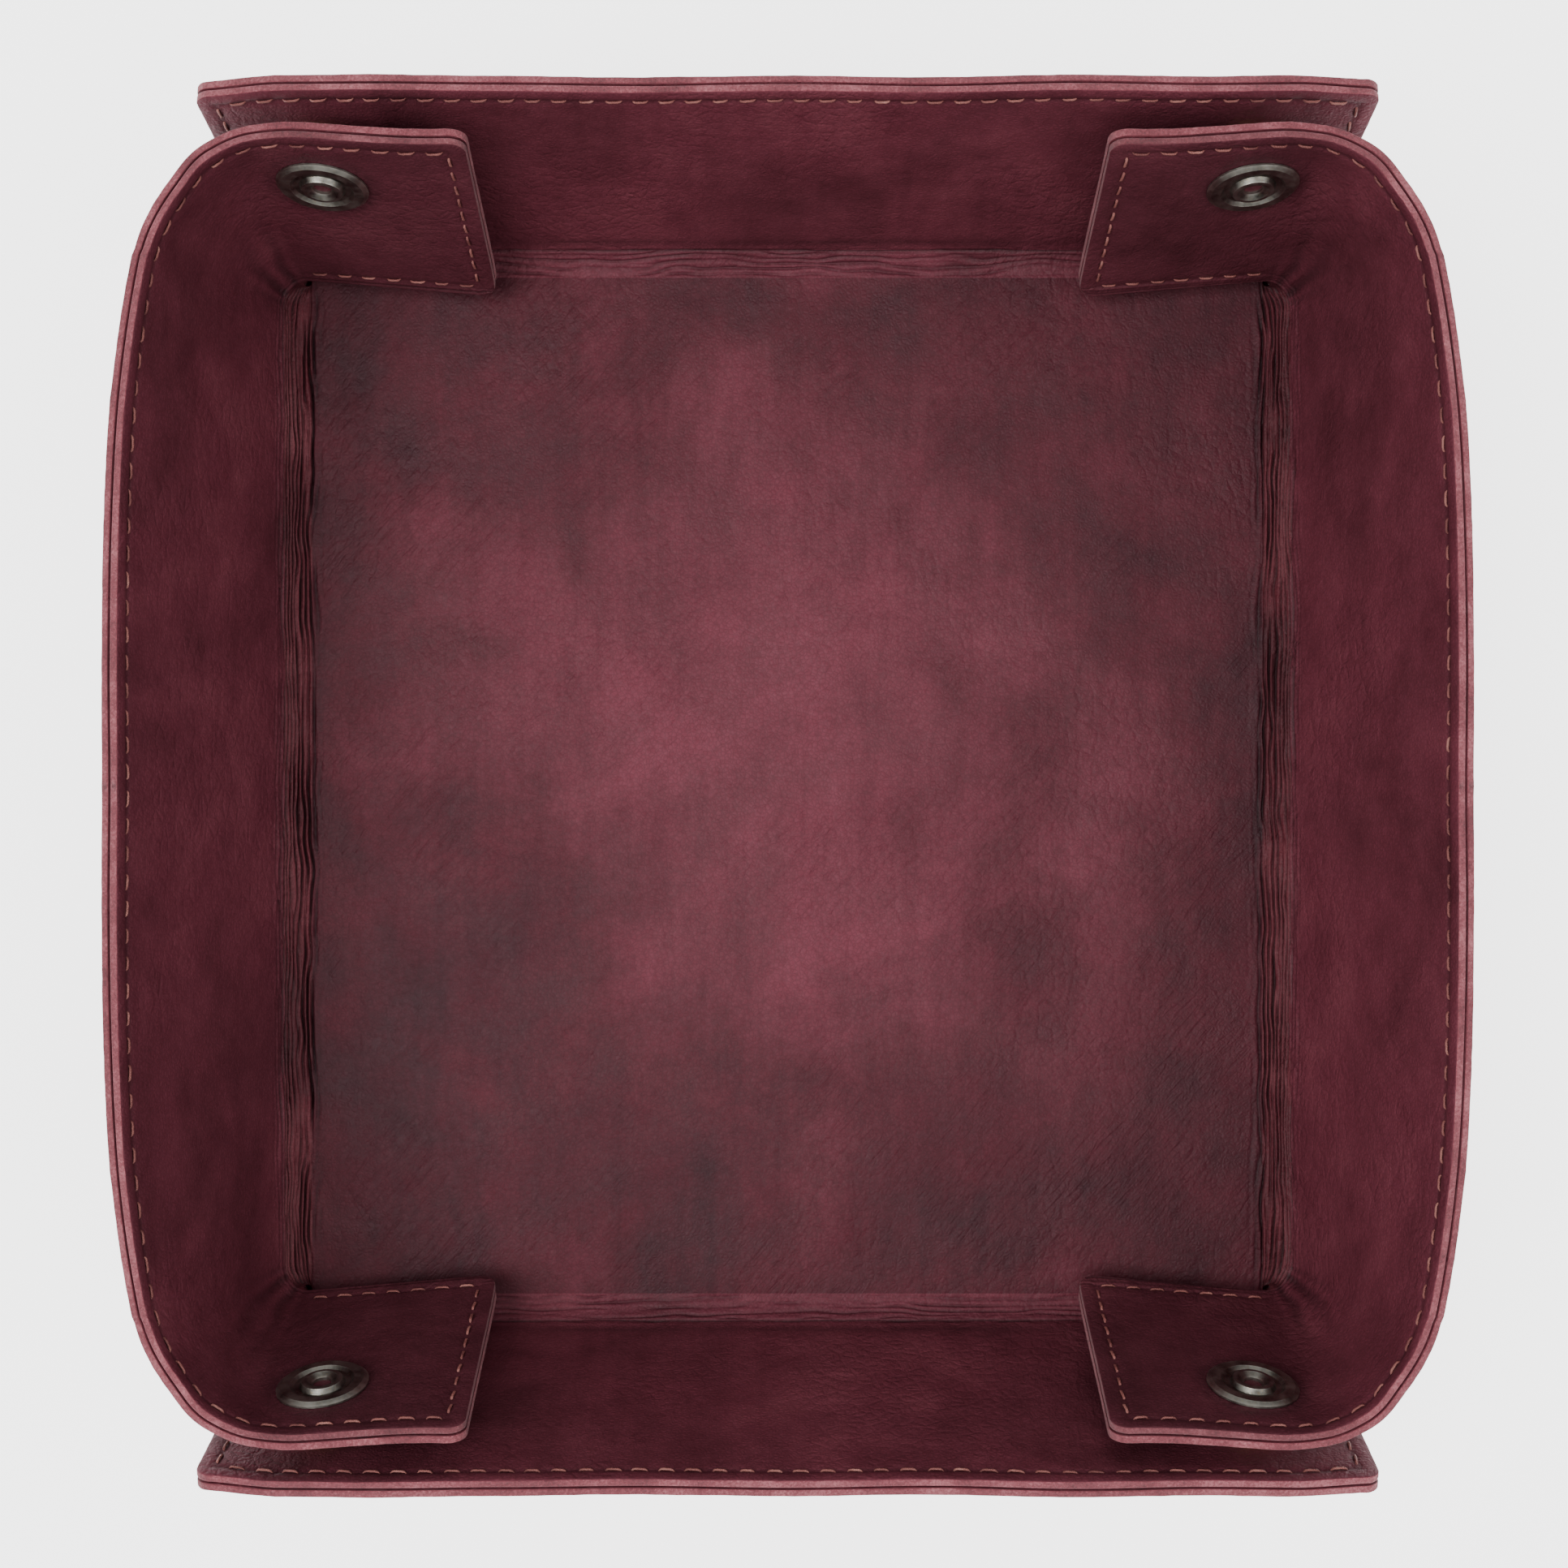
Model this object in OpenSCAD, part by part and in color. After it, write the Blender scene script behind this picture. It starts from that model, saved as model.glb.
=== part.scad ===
// Folding dice tray: a two-ply leather blank whose side walls end in tabs that
// bend round the corners and snap to the insides of the back and front walls.
// Origin: centre of the underside. +X right, +Y back, +Z up. Millimetres.

/* [Floor] */
// Width between the left and right fold lines
floor_w = 150; // [140:1:170]
// Depth between the back and front fold lines
floor_d = 160; // [150:1:180]
// Thickness of one leather ply
ply = 1.2; // [1:0.1:1.3]

/* [Walls] */
// Length of a wall along its slope, from fold line to rim
wall_len = 48; // [47:0.5:52]
// Lean of the back and front walls, outwards from vertical
lean_fb = 14; // [12:0.5:16]
// Lean of the left and right walls, outwards from vertical
lean_lr = 15; // [14:0.5:17]
// Half-length of the back and front walls
wall_half = 77.4; // [76:0.1:80]
// Half-length of the back and front walls at their fold
wall_half_low = 70; // [66:1:72]
// Height along the slope of the relief at each lower wall corner
relief_h = 16; // [12:1:18]
// Radius of the folds at the middle of the leather
fold_r = 5; // [4:0.5:6]

/* [Corner tabs] */
// Distance from the tray's centre line to the free end of each tab
tab_end_x = 43; // [38:1:48]
// Lower edge of each tab, up the slope from the fold line
tab_low = 5.5; // [5.5:0.5:8]
// Clear gap between the tab and the wall behind it, at the snap
tab_gap = 3.4; // [3.2:0.1:3.8]
// Turn of each tab's free end towards the middle of the tray, in degrees
tab_yaw = 4; // [3:0.5:6]
// Angle at which each corner bend widens towards the rim
bend_spread = 16.6; // [14:0.2:18]
// Depth of the corner bend's apex below the floor, along the corner
bend_drop = 13.4; // [12:0.2:15]

/* [Snaps] */
// Distance of each snap from the tray's centre line
snap_x = 63; // [61:0.5:65]
// Distance of each snap up the slope of the wall
snap_s = 33.5; // [30:0.5:35]
// Diameter of the eyelet flange, the socket and the cap
snap_d = 12.5; // [12:0.1:13]
// Height of the stud above the tab's leather
stud_h = 2.2; // [2:0.1:2.3]
// Height of the socket above the wall's leather
socket_h = 1.8; // [1.6:0.1:1.9]
// Diameter of the socket's mouth
socket_mouth = 8; // [7.8:0.1:8.4]
// Diameter of the stud's head
stud_head = 4.4; // [4.2:0.1:4.6]

/* [Thread] */
// Distance of the seam from every edge
seam_inset = 2.4; // [2:0.1:3]
// Width of the thread
thread_w = 0.7; // [0.5:0.1:0.9]
// Height of the thread above the leather
thread_h = 0.4; // [0.3:0.1:0.5]

/* [Hidden] */
fine = 96;
joint_gap = 0.3;
hole_r = 2;
barrel_r = 1.9;
barrel_bore = 1.3;
post_r = 1.6;
rim_z = ply + wall_len * cos(lean_lr);
leather = [0.33, 0.13, 0.17];
leather_back = [0.38, 0.17, 0.21];
thread_tan = [0.72, 0.5, 0.42];
gunmetal = [0.3, 0.31, 0.29];
antique_brass = [0.45, 0.38, 0.26];

// Name, mirrored in X, mirrored in Y
CORNERS = [["back_left", 0, 0], ["back_right", 1, 0],
           ["front_left", 0, 1], ["front_right", 1, 1]];
// Name, turn about Z, distance of the fold line, lean
END_WALLS = [["back", 0, floor_d / 2, lean_fb], ["front", 180, floor_d / 2, lean_fb]];
SIDE_WALLS = [["left", 90, floor_w / 2, lean_lr], ["right", 270, floor_w / 2, lean_lr]];
WALLS = concat(END_WALLS, SIDE_WALLS);
PLIES = ["inner", "outer"];

// Frame of the back left corner. The tab's plane and the left wall's plane
// meet along corner_dir, which passes through corner_root at mid-floor height.
n_side = [cos(lean_lr), 0, sin(lean_lr)];
n_back = [0, -cos(lean_fb), sin(lean_fb)];
n_tab = [-sin(tab_yaw) * cos(lean_fb), -cos(tab_yaw) * cos(lean_fb), sin(lean_fb)];
snap_wall = [-snap_x, floor_d / 2 + snap_s * sin(lean_fb), ply + snap_s * cos(lean_fb)];
snap_tab = snap_wall + (2 * ply + tab_gap) * n_back;
corner_dir = unit(cross(n_tab, n_side));
corner_root = [
    -floor_w / 2,
    snap_tab.y - (n_tab.x * (-floor_w / 2 - snap_tab.x) + n_tab.z * (ply - snap_tab.z)) / n_tab.y,
    ply
];
apex = corner_root - bend_drop * corner_dir;

// The corner bend is part of a cone that both planes touch, with its tip at apex.
bisector = unit(n_side + n_tab);
half_sin = n_side * bisector;
half_cos = sqrt(1 - half_sin * half_sin);
cone_tilt = atan(tan(bend_spread) / half_cos);
cone_half = asin(sin(cone_tilt) * half_sin);
cone_axis = cos(cone_tilt) * corner_dir + sin(cone_tilt) * bisector;
cone_out = sin(cone_tilt) * corner_dir - cos(cone_tilt) * bisector;
cone_side = cross(cone_axis, cone_out);
bend_half = acos(cos(cone_tilt) * half_sin / cos(cone_half));

// Corner line and bend edge seen in each panel's own plane
side_up = [-sin(lean_lr), 0, cos(lean_lr)];
tab_along = [cos(tab_yaw), -sin(tab_yaw), 0];
tab_up = cross(n_tab, tab_along);
side_edge_angle = atan2(corner_dir.y, corner_dir * side_up) - bend_spread;
tab_edge_angle = atan2(-(corner_dir * tab_along), corner_dir * tab_up) - bend_spread;
side_apex = [corner_root.y - bend_drop * corner_dir.y, -bend_drop * (corner_dir * side_up)];
tab_apex = [-bend_drop * (corner_dir * tab_along), -bend_drop * (corner_dir * tab_up)];

tab_top = (rim_z - ply) / cos(lean_fb);
tab_len = (floor_w / 2 - tab_end_x) / cos(tab_yaw);
fold_low = fold_start(lean_lr) + joint_gap;
bend_low_z = ply + fold_low * cos(lean_lr) + ply * sin(lean_lr);
// The seam keeps one distance from the apex all the way round the bend.
seam_reach = (tab_top - seam_inset - tab_apex.y) / cos(tab_edge_angle);
side_seam_y = side_apex.y + seam_reach * cos(side_edge_angle);

function unit(v) = v / norm(v);
function fold_start(lean) = fold_r * tan((90 - lean) / 2);
function side_end(y) = side_apex.x + (y - side_apex.y) * tan(side_edge_angle);
function tab_start(y) = tab_apex.x - (y - tab_apex.y) * tan(tab_edge_angle) + joint_gap;

// Frame of a wall: X along it, Y up its slope, Z inwards from its middle
module wall_frame(wall) {
    rotate([0, 0, wall[1]]) translate([0, wall[2], ply]) rotate([90 - wall[3], 0, 0]) children();
}

// Frame of the back left tab, its X axis pointing at the free end
module tab_frame() {
    translate(corner_root) rotate([0, 0, -tab_yaw]) rotate([90 - lean_fb, 0, 0]) children();
}

module at_corner(corner) {
    mirror([corner[1], 0, 0]) mirror([0, corner[2], 0]) children();
}

// One ply of the blank, on its own side of the middle
module one_ply(which) {
    color(which == "inner" ? leather : leather_back)
        translate([0, 0, which == "inner" ? 0 : -ply]) linear_extrude(ply) children();
}

module floor_leather(which) {
    translate([0, 0, ply]) one_ply(which)
        square([floor_w - 2 * fold_start(lean_lr), floor_d - 2 * fold_start(lean_fb)], center = true);
}

// A fold is a bend of the floor's own leather, up to the foot of the wall.
module fold_leather(wall, which) {
    start = fold_start(wall[3]);
    across = wall[1] % 180 == 0 ? floor_w - 2 * fold_start(lean_lr) : floor_d - 2 * fold_start(lean_fb);
    inside = which == "inner" ? fold_r - ply : fold_r;
    reach = 3 * fold_r;
    turn = 90 - wall[3];
    color(which == "inner" ? leather : leather_back)
        rotate([0, 0, wall[1]])
        translate([-across / 2, wall[2] - start, ply + fold_r])
        rotate([90, 0, 90])
        linear_extrude(across)
        intersection() {
            difference() {
                circle(r = inside + ply, $fn = fine);
                circle(r = inside, $fn = fine);
            }
            polygon([[0, 0], [0, -reach], [reach * tan(turn / 2), -reach], [reach * sin(turn), -reach * cos(turn)]]);
        }
}

module end_wall_outline(wall) {
    low = fold_start(wall[3]) + joint_gap;
    difference() {
        polygon([
            [-wall_half_low, low], [wall_half_low, low], [wall_half, relief_h],
            [wall_half, wall_len], [-wall_half, wall_len], [-wall_half, relief_h]
        ]);
        for (side = [-1, 1]) translate([side * snap_x, snap_s]) circle(r = hole_r, $fn = fine);
    }
}

module side_wall_outline() {
    polygon([
        [-side_end(fold_low), fold_low], [side_end(fold_low), fold_low],
        [side_end(wall_len), wall_len], [-side_end(wall_len), wall_len]
    ]);
}

module end_wall_leather(wall, which) {
    wall_frame(wall) one_ply(which) end_wall_outline(wall);
}

module side_wall_leather(wall, which) {
    wall_frame(wall) one_ply(which) side_wall_outline();
}

// Sector of a cone about the corner, from a profile of [distance from the apex, height inwards]
module bend_sector(profile) {
    along = [sin(cone_half), cos(cone_half)];
    inwards = [-cos(cone_half), sin(cone_half)];
    multmatrix([
        [cone_out.x, cone_side.x, cone_axis.x, apex.x],
        [cone_out.y, cone_side.y, cone_axis.y, apex.y],
        [cone_out.z, cone_side.z, cone_axis.z, apex.z],
        [0, 0, 0, 1]
    ])
    rotate([0, 0, -bend_half]) rotate_extrude(angle = 2 * bend_half, $fn = fine)
        polygon([for (p = profile) p[0] * along + p[1] * inwards]);
}

// The side wall's leather carries on round the corner as far as the tab.
module corner_leather(corner, which) {
    low = which == "inner" ? 0 : -ply;
    near = bend_drop / 2;
    far = 2 * wall_len;
    slab = 2 * floor_w;
    color(which == "inner" ? leather : leather_back)
        at_corner(corner)
        intersection() {
            bend_sector([[near, low], [far, low], [far, low + ply], [near, low + ply]]);
            translate([-slab, 0, bend_low_z]) cube([slab, slab, rim_z - bend_low_z]);
        }
}

module tab_leather(corner, which) {
    at_corner(corner) tab_frame() one_ply(which) difference() {
        polygon([
            [tab_start(tab_low), tab_low], [tab_len, tab_low],
            [tab_len, tab_top], [tab_start(tab_top), tab_top]
        ]);
        translate(snap_on_tab()) circle(r = hole_r, $fn = fine);
    }
}

function snap_on_tab() = [(snap_tab - corner_root) * tab_along, (snap_tab - corner_root) * tab_up];

// Straight run of thread on the inner face, from one point to another
module seam(from, to) {
    run = to - from;
    color(thread_tan) translate([from.x, from.y, ply]) rotate([0, 0, atan2(run.y, run.x)])
        translate([-thread_w / 2, -thread_w / 2, 0]) cube([norm(run) + thread_w, thread_w, thread_h]);
}

module end_wall_thread(wall) {
    edge = wall_half - seam_inset;
    top = wall_len - seam_inset;
    wall_frame(wall) {
        seam([-edge, relief_h], [-edge, top]);
        seam([-edge, top], [edge, top]);
        seam([edge, top], [edge, relief_h]);
    }
}

module side_wall_thread(wall) {
    edge = side_end(side_seam_y) - thread_w / 2;
    wall_frame(wall) seam([-edge, side_seam_y], [edge, side_seam_y]);
    for (corner = CORNERS)
        if ((corner[1] == 1) == (wall[0] == "right"))
            color(thread_tan) at_corner(corner) bend_sector([
                for (p = [[-1, 0], [1, 0], [1, 1], [-1, 1]])
                    [seam_reach + p[0] * thread_w / 2, ply + p[1] * thread_h]
            ]);
}

module tab_thread(corner) {
    end = tab_len - seam_inset;
    top = tab_top - seam_inset;
    low = tab_low + seam_inset;
    at_corner(corner) tab_frame() {
        seam([tab_start(top) + thread_w, top], [end, top]);
        seam([end, top], [end, low]);
        seam([end, low], [tab_start(low) + seam_inset, low]);
    }
}

module on_tab(corner) {
    at_corner(corner) tab_frame() translate(snap_on_tab()) children();
}

module on_wall(corner) {
    at_corner(corner) wall_frame(END_WALLS[0]) translate([-snap_x, snap_s, 0]) children();
}

// Ringed flange on the tab's inner face, with a hollow barrel through the leather
module snap_eyelet(corner) {
    r = snap_d / 2;
    flange = 0.7;
    color(gunmetal) on_tab(corner) translate([0, 0, ply]) rotate_extrude($fn = fine) polygon([
        [barrel_bore, -2 * ply], [barrel_r, -2 * ply], [barrel_r, 0], [r, 0], [r, 0.25],
        [0.9 * r, flange], [0.7 * r, flange], [0.62 * r, 0.25], [0.5 * r, 0.25],
        [0.44 * r, 0.95], [0.34 * r, 1.05], [barrel_bore, 0.5]
    ]);
}

// Stud on the back of the tab, clenched round the end of the eyelet's barrel
module snap_stud(corner) {
    head = stud_head / 2;
    neck = head - 0.25;
    color(antique_brass) on_tab(corner) translate([0, 0, -ply]) mirror([0, 0, 1])
        rotate_extrude($fn = fine) polygon([
            [0, 0.6], [barrel_r, 0.6], [barrel_r, 0], [2.1 * head, 0], [2.1 * head, 0.35],
            [1.9 * head, 0.6], [neck, 0.6], [neck, 1.2], [head, 1.5],
            [head, stud_h - 0.4], [head - 0.4, stud_h], [0, stud_h]
        ]);
}

// Open-mouthed socket on the inner face of the back or front wall
module snap_socket(corner) {
    r = snap_d / 2;
    mouth = socket_mouth / 2;
    base = 0.6;
    color(antique_brass) on_wall(corner) translate([0, 0, ply]) rotate_extrude($fn = fine) polygon([
        [post_r, 0], [r, 0], [r, 0.4], [r - 0.5, base], [mouth + 1.2, base + 0.2],
        [mouth + 0.9, socket_h - 0.3], [mouth + 0.6, socket_h], [mouth + 0.3, socket_h],
        [mouth, socket_h - 0.3], [mouth, base], [post_r, base]
    ]);
}

// Domed cap on the outer face, with a post through the wall, flared over the socket's base
module snap_cap(corner) {
    r = snap_d / 2;
    dome = 1.4;
    steps = 8;
    base = 0.6;
    color(gunmetal) on_wall(corner) translate([0, 0, -ply]) mirror([0, 0, 1])
        rotate_extrude($fn = fine) polygon(concat(
            [[0, -2 * ply - base], [post_r, -2 * ply - base], [post_r, 0], [r, 0]],
            [for (k = [0:steps]) [r * cos(90 * k / steps), 0.3 + (dome - 0.3) * sin(90 * k / steps)]]
        ));
}

for (p = PLIES)
    floor_leather(p);
for (w = WALLS, p = PLIES)
    fold_leather(w, p);
for (w = END_WALLS, p = PLIES)
    end_wall_leather(w, p);
for (w = SIDE_WALLS, p = PLIES)
    side_wall_leather(w, p);
for (w = END_WALLS)
    end_wall_thread(w);
for (w = SIDE_WALLS)
    side_wall_thread(w);
for (c = CORNERS, p = PLIES)
    corner_leather(c, p);
for (c = CORNERS, p = PLIES)
    tab_leather(c, p);
for (c = CORNERS)
    tab_thread(c);
for (c = CORNERS)
    snap_eyelet(c);
for (c = CORNERS)
    snap_stud(c);
for (c = CORNERS)
    snap_socket(c);
for (c = CORNERS)
    snap_cap(c);
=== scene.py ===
import math

import bpy
import numpy as np
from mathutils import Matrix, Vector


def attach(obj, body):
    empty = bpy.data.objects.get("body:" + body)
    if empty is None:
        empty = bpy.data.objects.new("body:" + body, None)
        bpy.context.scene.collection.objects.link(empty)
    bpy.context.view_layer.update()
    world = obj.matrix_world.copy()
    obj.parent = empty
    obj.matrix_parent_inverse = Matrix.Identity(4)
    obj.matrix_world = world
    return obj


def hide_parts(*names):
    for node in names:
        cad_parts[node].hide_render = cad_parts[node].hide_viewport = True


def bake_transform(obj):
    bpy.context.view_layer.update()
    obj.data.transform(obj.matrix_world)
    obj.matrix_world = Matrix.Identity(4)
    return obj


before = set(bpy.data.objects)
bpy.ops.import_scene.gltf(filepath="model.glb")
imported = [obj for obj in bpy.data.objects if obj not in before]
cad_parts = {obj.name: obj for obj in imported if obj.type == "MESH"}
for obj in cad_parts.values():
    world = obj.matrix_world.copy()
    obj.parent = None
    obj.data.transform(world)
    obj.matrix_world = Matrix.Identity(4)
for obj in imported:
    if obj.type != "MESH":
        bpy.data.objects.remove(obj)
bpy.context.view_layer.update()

MM = 0.001
CAMERA_AT, CAMERA_FOV = (-0.0005, 0.00025, 0.350), math.radians(37.35)

# The blank, in millimetres and degrees, as in the CAD source
PLY = 1.2
FLOOR_W, FLOOR_D = 150.0, 160.0
WALL_LEN = 48.0
LEAN_FB, LEAN_LR = math.radians(14), math.radians(15)
WALL_HALF, WALL_HALF_LOW, RELIEF_H = 77.4, 70.0, 16.0
FOLD_R = 5.0
TAB_END_X, TAB_LOW, TAB_GAP, TAB_YAW = 43.0, 5.5, 3.4, math.radians(4)
SPREAD, DROP = math.radians(16.6), 13.4
SNAP_X, SNAP_S = 63.0, 33.5
SEAM_INSET = 2.4
# The strips' lower edge is this far below the rim, along the wall
STRIP_RISE = 44.0
STITCH_PITCH, STITCH_LEN, THREAD_W = 3.55, 2.3, 0.44
STITCH_RINGS, STITCH_SIDES = 9, 8
# How far the side rims bow out in the middle, and draw in towards the corners
RIM_BOW, RIM_DRAW, CORNER_DRAW = 1.25, 4.3, 1.9
# How far the ends of the back and front walls draw in, and how far the tabs' free ends lean out
EAR_DRAW, TAB_SPRING = 0.8, 0.9
EAR_START, TAB_SPRING_RUN = 66, 11
# The rim's shape fades out down the wall to nothing at this height
SHAPE_FOOT, SHAPE_POWER = 5.0, 1.3
# Slope of the rim's bow where it meets the corner bend
BEND_SLOPE = -5.4
# Width, depth and swell of the creases along the folds, and how many there are
FOLD_BAND, FOLD_DEPTH, FOLD_SWELL = 6.6, 0.85, 0.38
SIDE_CREASES, END_CREASES = 7, 5
SIDE_SEEDS = {"left": 41, "right": 51}
END_SEEDS = {"back": 61, "front": 71}
# How far an end fold reaches under the corner's foot
FOLD_REACH = 2.6
# Corner radii of the end walls and of the strips, and the roundness of a cut edge
WALL_CORNER_R, STRIP_CORNER_R, CUT_R = 2.0, 2.6, 0.42
# A distance that counts as nowhere near an edge
FAR = 99.0


# ---------------------------------------------------------------- helpers

def vec(*v):
    return np.array(v, float)


def unit(v):
    return v / np.linalg.norm(v)


def smooth(t):
    t = np.clip(t, 0, 1)
    return t * t * (3 - 2 * t)


def lattice(i, j, k, seed):
    n = (i * 374761393 + j * 668265263 + k * 1274126177 + seed * 974634777) & 0xFFFFFFFF
    n = ((n ^ (n >> 13)) * 1103515245) & 0xFFFFFFFF
    n = ((n ^ (n >> 15)) * 1540483477) & 0xFFFFFFFF
    return ((n ^ (n >> 16)) & 0xFFFF) / 32767.5 - 1


def noise(x, y, z=0.0, seed=0):
    """Smooth noise from -1 to 1, one lump per unit."""
    x, y, z = np.broadcast_arrays(*(np.asarray(a, float) for a in (x, y, z)))
    i, j, k = (np.floor(a).astype(np.int64) for a in (x, y, z))
    fx, fy, fz = smooth(x - i), smooth(y - j), smooth(z - k)
    out = 0
    for a in (0, 1):
        for b in (0, 1):
            for c in (0, 1):
                w = (fx if a else 1 - fx) * (fy if b else 1 - fy) * (fz if c else 1 - fz)
                out = out + w * lattice(i + a, j + b, k + c, seed)
    return out


def spacing(length, step, free_start, free_end):
    """Positions from 0 to length, closer together near a free edge."""
    near = [0, 0.05, 0.14, 0.27, 0.42, 0.65, 0.95, 1.3, 1.6, 1.85, 2.1, 2.35, 2.6, 2.9, 3.3, 3.8, 4.5]
    start = near if free_start else [0]
    end = [length - n for n in reversed(near if free_end else [0])]
    gap = end[0] - start[-1]
    count = max(1, round(gap / step))
    inner = [start[-1] + gap * k / count for k in range(1, count)]
    return np.array(start + inner + end)


# ---------------------------------------------------------------- geometry of the blank

def fold_start(lean):
    return FOLD_R * math.tan((math.pi / 2 - lean) / 2)


RIM_Z = PLY + WALL_LEN * math.cos(LEAN_LR)
N_SIDE = vec(math.cos(LEAN_LR), 0, math.sin(LEAN_LR))
N_BACK = vec(0, -math.cos(LEAN_FB), math.sin(LEAN_FB))
N_TAB = vec(-math.sin(TAB_YAW) * math.cos(LEAN_FB), -math.cos(TAB_YAW) * math.cos(LEAN_FB),
            math.sin(LEAN_FB))
SNAP_WALL = vec(-SNAP_X, FLOOR_D / 2 + SNAP_S * math.sin(LEAN_FB), PLY + SNAP_S * math.cos(LEAN_FB))
SNAP_TAB = SNAP_WALL + (2 * PLY + TAB_GAP) * N_BACK
CORNER_DIR = unit(np.cross(N_TAB, N_SIDE))
ROOT_SHIFT = N_TAB[0] * (-FLOOR_W / 2 - SNAP_TAB[0]) + N_TAB[2] * (PLY - SNAP_TAB[2])
ROOT = vec(-FLOOR_W / 2, SNAP_TAB[1] - ROOT_SHIFT / N_TAB[1], PLY)
APEX = ROOT - DROP * CORNER_DIR
BISECTOR = unit(N_SIDE + N_TAB)
HALF_SIN = N_SIDE @ BISECTOR
HALF_COS = math.sqrt(1 - HALF_SIN ** 2)
CONE_TILT = math.atan(math.tan(SPREAD) / HALF_COS)
CONE_HALF = math.asin(math.sin(CONE_TILT) * HALF_SIN)
CONE_AXIS = math.cos(CONE_TILT) * CORNER_DIR + math.sin(CONE_TILT) * BISECTOR
CONE_OUT = math.sin(CONE_TILT) * CORNER_DIR - math.cos(CONE_TILT) * BISECTOR
CONE_SIDE = np.cross(CONE_AXIS, CONE_OUT)
BEND_HALF = math.acos(math.cos(CONE_TILT) * HALF_SIN / math.cos(CONE_HALF))
SIDE_UP = vec(-math.sin(LEAN_LR), 0, math.cos(LEAN_LR))
TAB_ALONG = vec(math.cos(TAB_YAW), -math.sin(TAB_YAW), 0)
TAB_UP = np.cross(N_TAB, TAB_ALONG)
SIDE_ANGLE = math.atan2(CORNER_DIR[1], CORNER_DIR @ SIDE_UP) - SPREAD
TAB_ANGLE = math.atan2(-(CORNER_DIR @ TAB_ALONG), CORNER_DIR @ TAB_UP) - SPREAD
SIDE_APEX = (ROOT[1] - DROP * CORNER_DIR[1], -DROP * (CORNER_DIR @ SIDE_UP))
TAB_APEX = (-DROP * (CORNER_DIR @ TAB_ALONG), -DROP * (CORNER_DIR @ TAB_UP))
TAB_LEN = (FLOOR_W / 2 - TAB_END_X) / math.cos(TAB_YAW)
LOW_LR, LOW_FB = fold_start(LEAN_LR) + 0.3, fold_start(LEAN_FB) + 0.3
Z_LOW_SIDE = PLY + LOW_LR * math.cos(LEAN_LR)
Z_LOW_TAB = PLY + TAB_LOW * math.cos(LEAN_FB)


def side_end(v):
    return SIDE_APEX[0] + (v - SIDE_APEX[1]) * math.tan(SIDE_ANGLE)


def tab_start(v):
    return TAB_APEX[0] - (v - TAB_APEX[1]) * math.tan(TAB_ANGLE)


def tile(v, like):
    return np.broadcast_to(v, like.shape + (3,))


def height_share(z):
    """0 at the foot of a wall and 1 at its rim."""
    return np.clip((z - SHAPE_FOOT) / (RIM_Z - SHAPE_FOOT), 0, 1) ** SHAPE_POWER


def strip(s, z):
    """Middle of the back left strip and its inward direction. s runs 0 to 1 from the middle of the
    side wall to the corner bend, 1 to 2 round the bend, and 2 to 3 along the tab to its free end."""
    s, z = np.broadcast_arrays(np.asarray(s, float), np.asarray(z, float))
    share = height_share(z)
    # side wall
    v = (z - PLY) / math.cos(LEAN_LR)
    y = np.clip(s, 0, 1) * side_end(v)
    pa = np.stack([-FLOOR_W / 2 - v * math.sin(LEAN_LR), y, z], -1)
    bow = RIM_BOW - RIM_DRAW * np.abs(y / 70.0) ** 3.5
    pa[..., 0] -= bow * share
    # corner bend
    f = np.clip(s - 1, 0, 1)
    turn = (1 - 2 * f) * BEND_HALF
    ct, st = np.cos(turn)[..., None], np.sin(turn)[..., None]
    ray = math.sin(CONE_HALF) * (ct * CONE_OUT + st * CONE_SIDE) + math.cos(CONE_HALF) * CONE_AXIS
    nb = -math.cos(CONE_HALF) * (ct * CONE_OUT + st * CONE_SIDE) + math.sin(CONE_HALF) * CONE_AXIS
    rho = (z - APEX[2]) / ray[..., 2]
    pb = APEX + rho[..., None] * ray
    h00, h10 = 2 * f ** 3 - 3 * f ** 2 + 1, f ** 3 - 2 * f ** 2 + f
    pb[..., 0] -= (h00 * (RIM_BOW - RIM_DRAW) + h10 * BEND_SLOPE) * share
    # tab
    v = (z - PLY) / math.cos(LEAN_FB)
    g = np.clip(s - 2, 0, 1)
    start = tab_start(v)
    a = start + g * (TAB_LEN - start)
    curl = -TAB_SPRING * share * np.clip((a - (TAB_LEN - TAB_SPRING_RUN)) / TAB_SPRING_RUN, 0, 1) ** 2
    low_curl = 0.5 * np.clip((15 - v) / 10, 0, 1) ** 2 * g
    pc = ROOT + a[..., None] * TAB_ALONG + v[..., None] * TAB_UP + (curl + low_curl)[..., None] * N_TAB
    pick_b, pick_c = ((s > 1) & (s <= 2))[..., None], (s > 2)[..., None]
    p = np.where(pick_c, pc, np.where(pick_b, pb, pa))
    n = np.where(pick_c, N_TAB, np.where(pick_b, nb, tile(N_SIDE, s)))
    snap = np.linalg.norm(p - SNAP_TAB, axis=-1)
    calm = smooth((snap - 8) / 12)
    drawn = smooth((s - 0.98) / 0.5) * (1 - smooth((s - 1.72) / 0.5)) * smooth((snap - 6.8) / 8)
    ripple = 0.30 * calm * noise(p[..., 0] / 17, p[..., 1] / 17, p[..., 2] / 24, 5)
    p = p + n * (share * (ripple + CORNER_DRAW * drawn))[..., None]
    return p, n


def z_low(s):
    s = np.asarray(s, float)
    return np.where(s < 2, Z_LOW_SIDE + (Z_LOW_TAB - Z_LOW_SIDE) * smooth(s - 1.15), Z_LOW_TAB)


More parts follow.
